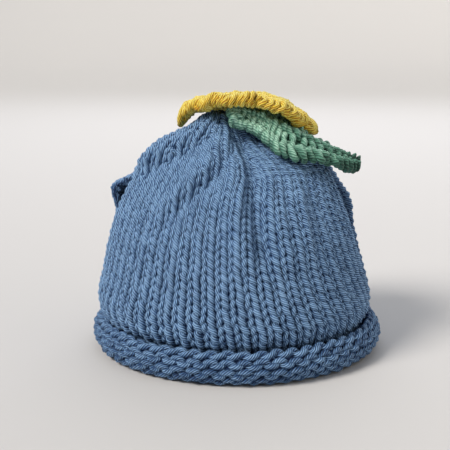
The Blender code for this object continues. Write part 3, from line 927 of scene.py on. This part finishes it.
@dataclass(frozen=True)
class Crochet:
    """Crochet: how the yarn runs, on a cloth whose places are (along, across, lift)."""

    lean: float = 0.10            # how far a leg leans, as a part of a stitch
    flat: float = 0.75            # how flat the head and the foot of a stitch are
    deep: float = 0.8             # how far legs stand off the middle of the cloth, in mm
    steps: int = 16               # points in a stitch
    chain_steps: int = 12         # points in a chain stitch
    uneven: float = 0.05          # how uneven the work is, as a part of a stitch
    swell: float = 1.4            # how far the strands of a chain stand off its middle, in mm
    jolt: float = 0.30            # how uneven the strands of a chain are, as a part of their swing
    ripple: float = 0.2           # how far stitches stand up and down at random, in mm
    tints: float = 0.06           # how much lighter or darker the yarn is from place to place
    shading: float = 0.05         # painted shade: how much darker the yarn is painted deep in the fabric, for each mm, and lighter where it stands out
    wrap_run: float = 0.36        # half the length of a wrap, in stitches
    wrap_slant: float = 0.16      # how far it slants, as a part of the row's height
    wrap_lift: float = 2.1        # how far it stands off the stitch, in mm

    def stitches(self, lay: Lay, row: Row, rng: np.random.Generator) -> Strand:
        """Lay a row of tall stitches as one strand.

        Args:
            lay: turns places on the cloth into points and normals.
            row: the row.
            rng: the random numbers for its unevenness.

        Returns:
            The strand.
        """
        points = row.count * self.steps + (0 if row.closed else 1)
        phase = np.linspace(0, row.count * TURN, points, endpoint=not row.closed)
        knots = np.linspace(0, row.count * TURN, row.count * 2 + 1)
        side, height, depth, shade = (wander(phase, knots, rng, row.closed) for _ in range(4))
        bow = np.cos(phase)
        bow = np.sign(bow) * np.abs(bow) ** self.flat
        step = phase / TURN + self.lean * np.sin(2 * phase) + self.uneven * side
        along = row.start + (row.end - row.start) * step / row.count
        across = (row.foot + row.head) / 2 - (row.head - row.foot) / 2 * bow * (1 + self.uneven * height)
        lift = -self.deep * np.cos(2 * phase) + self.ripple * depth
        where, normals = lay(along, across, lift)
        # painted shade: the tint adds random tone, and darkens the yarn where it lies deep in the fabric
        return Strand(where, normals, self.tints * shade + self.shading * lift, row.closed)

    def wraps(self, lay: Lay, row: Row, rng: np.random.Generator) -> list[Strand]:
        """Lay the turn of yarn that slants over each tall stitch of a row.

        Args:
            lay: turns places on the cloth into points and normals.
            row: the row.
            rng: the random numbers for its unevenness.

        Returns:
            One short strand for each stitch.
        """
        strands = []
        part = np.linspace(-1, 1, 9)
        for number in range(row.count):
            middle = row.foot + (row.head - row.foot) * (0.52 + 0.06 * rng.normal())
            step = number + 0.5 + self.wrap_run * part
            across = middle + (row.head - row.foot) * self.wrap_slant * part
            lift = -0.6 + self.wrap_lift * np.cos(part * math.pi / 2)
            points, normals = lay(row.start + (row.end - row.start) * step / row.count, across, lift)
            strands.append(Strand(points, normals, np.full(len(part), 0.05 + 0.05 * rng.normal())))
        return strands

    def plait(self, lay: Lay, chain: Chain, rng: np.random.Generator) -> list[Strand]:
        """Lay a chain of stitches as two strands that wind round each other.

        Args:
            lay: turns places on the cloth into points and normals.
            chain: the chain.
            rng: the random numbers for its unevenness.

        Returns:
            The two strands.
        """
        points = chain.count * self.chain_steps + (0 if chain.closed else 1)
        phase = np.linspace(0, chain.count * TURN, points, endpoint=not chain.closed)
        strands = []
        knots = np.linspace(0, chain.count * TURN, chain.count * 2 + 1)
        for side in (0, math.pi):
            jolts = 1 + self.jolt * rng.normal(0, 1, (2, len(knots)))
            jolts[:, -1] = jolts[:, 0]
            far, tall = (np.interp(phase, knots, jolt) for jolt in jolts)
            swing = far * np.cos(phase + side)
            along = chain.start + (chain.end - chain.start) * phase / (chain.count * TURN)
            high = chain.lift + self.swell * tall * np.sin(phase + side)
            where, normals = lay(along, chain.across + chain.width * swing, high)
            strands.append(Strand(where, normals, np.full(points, 0.04 * rng.normal()), chain.closed))
        return strands


class Drape(NamedTuple):
    """The height of the flower's middle line at a place from side to side."""

    x: float
    height: float


FLOWER_DRAPE = (
    Drape(-24.8,  95.8),
    Drape(-23.4,  99.6),
    Drape(-21.2, 103.0),
    Drape(-17.5, 105.4),
    Drape(-11.5, 107.2),
    Drape(-4,    108.3),
    Drape(8,     108.6),
    Drape(17,    106.8),
    Drape(26,    101.4),
    Drape(35,     92.6),
)


@dataclass(frozen=True)
class Flower:
    """The crocheted flower: three rounds of stitches in six petals, draped over the crown."""

    centre: tuple[float, float] = (5.6, 4.6)
    radius: float = 29.4
    petals: int = 6
    petal_cut: float = 0.18
    petal_cup: float = 0.9
    petal_turn: float = 5.0
    front_lift: float = 0.8
    back_droop: float = 7.0
    leaf_droop: float = 1.2
    leaf_side: float = 6.0
    leaf_side_span: float = 14.0
    ripple: float = 0.7            # how far the rim goes up and down, in mm
    ripples: int = 11
    cloth_thickness: float = 0.6
    rounds: tuple[Row, ...] = (Row(9, 0.07, 0.40, closed=True), Row(20, 0.34, 0.68, closed=True),
                               Row(30, 0.60, 0.94, closed=True))
    rim: Chain = Chain(34, 0.91, 0.07, closed=True)
    crochet: Crochet = Crochet(deep=1.2, uneven=0.12, swell=1.5, jolt=0.35)
    yarn: Yarn = Yarn(width=3.0, thickness=2.7)
    seed: int = 5

    def height(self, x: Array, y: Array) -> Array:
        """Return the height of the middle of the cloth at a place on the plan."""
        steps = np.array(FLOWER_DRAPE)
        index = np.clip(np.searchsorted(steps[:, 0], x) - 1, 0, len(steps) - 2)
        part = (x - steps[index, 0]) / (steps[index + 1, 0] - steps[index, 0])
        path = np.repeat(steps[:, None, :], len(x), axis=1)
        curved = through(path, index + np.clip(part, 0, 0.999))[:, 1]
        straight = steps[index, 1] + (steps[index + 1, 1] - steps[index, 1]) * part
        level = np.where((part >= 0) & (part <= 1), curved, straight)
        away = np.abs(y - self.centre[1]) / self.radius
        on_leaf = smooth_step((x - self.leaf_side) / self.leaf_side_span)
        front = (self.front_lift - (self.front_lift + self.leaf_droop) * on_leaf) * away ** 2
        return level + np.where(y > self.centre[1], -self.back_droop * away ** 1.5, front)

    def lay(self, along: Array, ring: Array, lift: Array) -> tuple[Array, Array]:
        """Return points of the flower and the way its top faces there.

        Args:
            along: part of a full round.
            ring: part of the way from the middle to the rim.
            lift: how far above the middle of the cloth.

        Returns:
            The points and the normals.
        """
        turn = along * TURN
        wave = np.abs(np.cos((turn - math.radians(self.petal_turn)) * self.petals / 2))
        reach = self.radius * (1 - self.petal_cut * ring * (1 - wave ** 0.6)) * ring
        x = self.centre[0] + reach * np.cos(turn)
        y = self.centre[1] + reach * np.sin(turn)
        normal = unit(np.stack([self.height(x - 0.5, y) - self.height(x + 0.5, y),
                                self.height(x, y - 0.5) - self.height(x, y + 0.5), np.ones(len(x))], axis=1))
        cup = self.petal_cup * (wave - 0.5) * ring
        cup = cup + self.ripple * ring ** 2 * np.sin(self.ripples * turn)
        return np.stack([x, y, self.height(x, y) + cup], axis=1) + normal * lift[:, None], normal

    def build_cloth(self, finish: bpy.types.Material) -> bpy.types.Object:
        """Build the thin cloth that runs through the middle of the stitches."""
        rings, turns = np.linspace(0.02, 0.97, 20), np.arange(96) / 96
        outer, inner = cloth_sides(self.lay, turns, rings, self.cloth_thickness)
        return sheet_mesh("flower_cloth", inner, outer, finish, round_about=True)

    def build_stitches(self, finish: bpy.types.Material) -> bpy.types.Object:
        """Build the three rounds, and the chain round the rim."""
        rng = np.random.default_rng(self.seed)
        strands = []
        for row in self.rounds:
            strands.append(self.crochet.stitches(self.lay, row, rng))
            strands.extend(self.crochet.wraps(self.lay, row, rng))
        strands.extend(self.crochet.plait(self.lay, self.rim, rng))
        return self.yarn.spin("flower_stitches", strands, finish)


class Rib(NamedTuple):
    """A place on the leaf's spine, with how far each side reaches and hangs there."""

    name: str
    x: float
    y: float
    height: float
    front_reach: float
    front_drop: float
    back_reach: float
    back_drop: float


RIBS = (
    Rib("base",  -3.2, -13.2, 102.2,  3.0,  3.0,  2.6, -0.6),
    Rib("heel",   3.0, -13.4, 102.0,  4.4,  4.4,  6.0, -1.0),
    Rib("neck",   9.5, -13.6, 99.8,   5.2,  4.8,  9.0, -2.2),
    Rib("swell", 14.5, -14.4, 97.6,   7.8,  6.2, 12.0, -2.6),
    Rib("broad", 21.5, -15.0, 94.6,  12.0,  7.8, 12.6, -2.8),
    Rib("waist", 33.0, -12.8, 89.0,  10.4,  4.2, 10.4, -2.5),
    Rib("taper", 44.0,  -9.5, 84.2,   7.0,  3.2,  6.5, -0.6),
    Rib("tip",   51.6,  -7.2, 80.2,   2.0,  0.8,  2.0,  0.2),
)


@dataclass(frozen=True)
class Leaf:
    """The crocheted leaf: tall stitches worked into both sides of a chain."""

    scallop: float = 0.11
    scallops: int = 10
    cloth_thickness: float = 0.6
    base_painted_light: float = 0.14       # painted light: how much lighter the yarn is painted at the base
    tip_painted_shade: float = -0.26       # painted shade: and how much darker at the tip
    rows: tuple[Row, ...] = (Row(10, 0.06, 0.50, 0.02, 0.99), Row(11, 0.44, 0.86, 0.02, 0.99))
    edge: Chain = Chain(12, 0.82, 0.12, 0.01, 0.99)
    spine: Chain = Chain(13, 0.0, 0.12, lift=0.8)
    base: Chain = Chain(3, 0.05, 0.045, lift=1.4)
    base_reach: float = 0.95      # how far round the near end that chain runs, in half widths
    crochet: Crochet = Crochet(deep=1.2, uneven=0.10, swell=1.7, jolt=0.40)
    yarn: Yarn = Yarn(width=3.4, thickness=3.0)
    seed: int = 8

    def lay(self, along: Array, across: Array, lift: Array) -> tuple[Array, Array]:
        """Return points of the leaf and the way its top faces there.

        Args:
            along: part of the way from the base to the tip.
            across: -1 at the front edge, 0 on the spine and 1 at the back edge.
            lift: how far above the middle of the cloth.

        Returns:
            The points and the normals.
        """
        table = np.array([rib[1:] for rib in RIBS])
        where = np.clip(along, 0, 1) * (len(RIBS) - 1)

        def read(columns: slice, place: Array) -> Array:
            """Read columns of the table on a smooth curve."""
            return through(np.repeat(table[:, None, columns], len(place), axis=1), place)

        spine = read(slice(0, 3), where)
        ahead = read(slice(0, 3), np.minimum(where + 0.05, len(RIBS) - 1))
        behind = read(slice(0, 3), np.maximum(where - 0.05, 0))
        heading = ahead - behind      # a short step along the spine
        level = unit(np.stack([-heading[:, 1], heading[:, 0], 0 * where], axis=1))
        front, back = read(slice(3, 5), where), read(slice(5, 7), where)
        scallop = 1 + self.scallop * np.cos(TURN * self.scallops * along)
        up = np.array([0.0, 0.0, 1.0])
        to_front = -level * (front[:, :1] * scallop[:, None]) - up * front[:, 1:]
        to_back = level * (back[:, :1] * scallop[:, None]) - up * back[:, 1:]
        share = across[:, None]
        offset = to_front * (share * (share - 1) / 2) + to_back * (share * (share + 1) / 2)
        slope = to_front * (share - 0.5) + to_back * (share + 0.5)
        normal = unit(np.cross(heading, slope))
        return spine + offset + normal * lift[:, None], normal

    def around_base(self, along: Array, across: Array, lift: Array) -> tuple[Array, Array]:
        """Return points round the leaf's near end, along it from the front edge to the back one."""
        return self.lay(across, self.base_reach * (2 * along - 1), lift)

    def build_cloth(self, finish: bpy.types.Material) -> bpy.types.Object:
        """Build the thin cloth that runs through the middle of the stitches."""
        rows, columns = np.linspace(-0.97, 0.97, 17), np.linspace(0.01, 0.99, 61)
        outer, inner = cloth_sides(self.lay, columns, rows, self.cloth_thickness)
        return sheet_mesh("leaf_cloth", outer, inner, finish)

    def build_stitches(self, finish: bpy.types.Material) -> bpy.types.Object:
        """Build the stitches of both sides and the chain along the spine."""
        rng = np.random.default_rng(self.seed)
        strands = []
        for side in (-1, 1):
            for row in self.rows:
                there = row._replace(foot=row.foot * side, head=row.head * side)
                strands.append(self.crochet.stitches(self.lay, there, rng))
            edge = self.edge._replace(across=self.edge.across * side)
            strands.extend(self.crochet.plait(self.lay, edge, rng))
        strands.extend(self.crochet.plait(self.lay, self.spine, rng))
        strands.extend(self.crochet.plait(self.around_base, self.base, rng))
        # painted light at the base and painted shade at the tip
        for strand in strands:
            strand.tint = strand.tint + self.fade(strand.points[:, 0])
        return self.yarn.spin("leaf_stitches", strands, finish)

    def fade(self, x: Array) -> Array:
        """Return the painted light and shade along the leaf: lighter at its base and darker at its tip."""
        ends = RIBS[0].x, RIBS[-1].x
        return np.interp(x, [ends[0], sum(ends) / 2, ends[1]], [self.base_painted_light, 0.0, self.tip_painted_shade])


# ---------------------------------------------------------------------------- the stage
@dataclass(frozen=True)
class Studio:
    """A pale floor, soft lights and the camera."""

    distance: float = 457.1        # from the origin to the camera, in mm
    elevation: float = 18.26       # degrees of that line above level
    look_down: float = 12.91       # degrees the camera is tipped below level
    look_left: float = 0.67        # degrees it is turned to the left
    lens: float = 80.08            # in mm, on a sensor 36 mm wide
    rise: float = 0.044            # lens shift, as a part of the frame
    floor_radius: float = 2.2      # where the floor starts to sweep up, in metres
    floor_bend: float = 2.4        # radius of the sweep
    wall_height: float = 3.0       # how high the wall goes, in metres
    floor_sides: int = 64
    floor_colour: str = "CDCCCB"
    sky_colour: str = "D3D8DE"
    sky_strength: float = 0.6

    def build_floor(self) -> bpy.types.Object:
        """Build the floor, a pale disc that sweeps up into a wall all round."""
        bend = np.linspace(0, math.pi / 2, 25)
        wall = self.floor_radius + self.floor_bend
        radius = np.concatenate([[0.0, 0.6], self.floor_radius + self.floor_bend * np.sin(bend), [wall]])
        height = np.concatenate([[0.0, 0.0], self.floor_bend * (1 - np.cos(bend)), [self.wall_height]])
        turns = np.arange(self.floor_sides) / self.floor_sides * TURN
        grid = np.stack([radius[:, None] * np.cos(turns), radius[:, None] * np.sin(turns),
                         height[:, None] + 0 * turns], axis=-1)
        index = np.arange(grid.shape[0] * self.floor_sides).reshape(-1, self.floor_sides)
        ahead = np.roll(index, -1, axis=1)
        faces = np.stack([index[:-1], index[1:], ahead[1:], ahead[:-1]], axis=-1).reshape(-1, 4)
        data = bpy.data.meshes.new("floor")
        data.from_pydata(grid.reshape(-1, 3).tolist(), [], faces.tolist())
        data.shade_smooth()
        floor = new_object("floor", data)
        material, _, shader = new_finish("pale_floor")
        shader.inputs["Base Color"].default_value = linear(self.floor_colour)
        shader.inputs["Roughness"].default_value = 0.9
        data.materials.append(material)
        return floor

    def build_light(self, name: str, kind: str, place: tuple[float, float, float], spread: float,
                    power: float, colour: str) -> None:
        """Add a soft light that faces the cosy.

        Args:
            name: the light's name.
            kind: AREA for a square lamp, or SUN for one so far off that it lights the whole floor evenly.
            place: where it hangs, or the side it comes from, in metres.
            spread: a lamp's side in metres, or how wide a far light looks, in radians.
            power: a lamp's power in watts, or a far light's watts for each square metre.
            colour: its sRGB hex colour.
        """
        data = bpy.data.lights.new(name, kind)
        setattr(data, "size" if kind == "AREA" else "angle", spread)
        data.energy = power
        data.color = linear(colour)[:3]
        light = new_object(name, data)
        light.location = place
        aim = Vector((0, 0, 0.05 if kind == "AREA" else 0)) - Vector(place)
        light.rotation_euler = aim.to_track_quat("-Z", "Y").to_euler()

    def build_camera(self) -> None:
        """Add the camera at the height and distance from which the cosy is seen."""
        data = bpy.data.cameras.new("camera")
        data.lens = self.lens
        data.sensor_width = 36.0
        data.shift_y = self.rise
        camera = new_object("camera", data)
        pitch = math.radians(self.elevation)
        place = Vector((0, -math.cos(pitch), math.sin(pitch))) * self.distance * MM
        camera.location = place
        camera.rotation_euler = (math.pi / 2 - math.radians(self.look_down), 0, math.radians(self.look_left))
        bpy.context.scene.camera = camera

    def build(self) -> None:
        """Build everything on the stage."""
        self.build_floor()
        self.build_light("window_light", "SUN", (-0.75, -0.55, 0.85), spread=math.radians(24), power=3.1,
                         colour="FFF8F0")
        self.build_light("fill_light", "AREA", (0.9, -0.8, 0.4), spread=1.2, power=1.6, colour="FFE9CC")
        self.build_light("back_light", "AREA", (0.1, 0.9, 0.8), spread=1.0, power=4.0, colour="F2F4FF")
        world = bpy.data.worlds.new("studio")
        bpy.context.scene.world = world
        world.use_nodes = True
        sky = world.node_tree.nodes["Background"]
        sky.inputs["Color"].default_value = linear(self.sky_colour)
        sky.inputs["Strength"].default_value = self.sky_strength
        self.build_camera()


# ---------------------------------------------------------------------------- the whole cosy
def settle(cloth: bpy.types.Object, stitches: Sequence[bpy.types.Object], node: str) -> None:
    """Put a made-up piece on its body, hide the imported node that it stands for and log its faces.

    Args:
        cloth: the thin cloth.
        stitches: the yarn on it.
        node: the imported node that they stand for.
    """
    for piece in [cloth, *stitches]:
        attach(piece, "root")
        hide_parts(node)
        log.info("%s: %d faces", piece.name, len(piece.data.polygons))


def main() -> None:
    """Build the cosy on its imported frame."""
    logging.basicConfig(level=logging.INFO, format="%(name)s: %(message)s")
    bpy.context.scene.view_settings.view_transform = "Standard"
    blue = YarnFinish("spun_blue_yarn", "92B8DF", "3C6597", "0B1B3D").build()
    yellow = YarnFinish("spun_yellow_yarn", "FFF592", "F2D63E", "B8741C").build()
    green = YarnFinish("spun_green_yarn", "B4E0CC", "548B77", "1B3D34", ply_share=0.5).build()
    shape = CosyCloth()
    panels = (
        KnittedPanel("front", PanelCloth(shape, HANDLE_SLIT, SPOUT_SLIT, 0), 11),
        KnittedPanel("back", PanelCloth(shape, SPOUT_SLIT, HANDLE_SLIT, 1), 23),
    )
    # dark grounds painted as shade between the stitches
    blue_painted_shade = PaintedShadeFinish("blue_yarn_painted_shade", "2A4472").build()
    for knitted in panels:
        cloth = knitted.build_cloth(blue_painted_shade)
        stitches = knitted.build_stitches(blue)
        settle(cloth, stitches, knitted.name + "_panel")
    leaf, flower = Leaf(), Flower()
    # dark grounds painted as shade between the stitches
    leaf_cloth = leaf.build_cloth(PaintedShadeFinish("green_yarn_painted_shade", "2F5F4E").build())
    settle(leaf_cloth, [leaf.build_stitches(green)], "leaf")
    flower_cloth = flower.build_cloth(PaintedShadeFinish("yellow_yarn_painted_shade", "A8701C").build())
    settle(flower_cloth, [flower.build_stitches(yellow)], "flower")
    Studio().build()


if __name__ == "__main__":
    main()
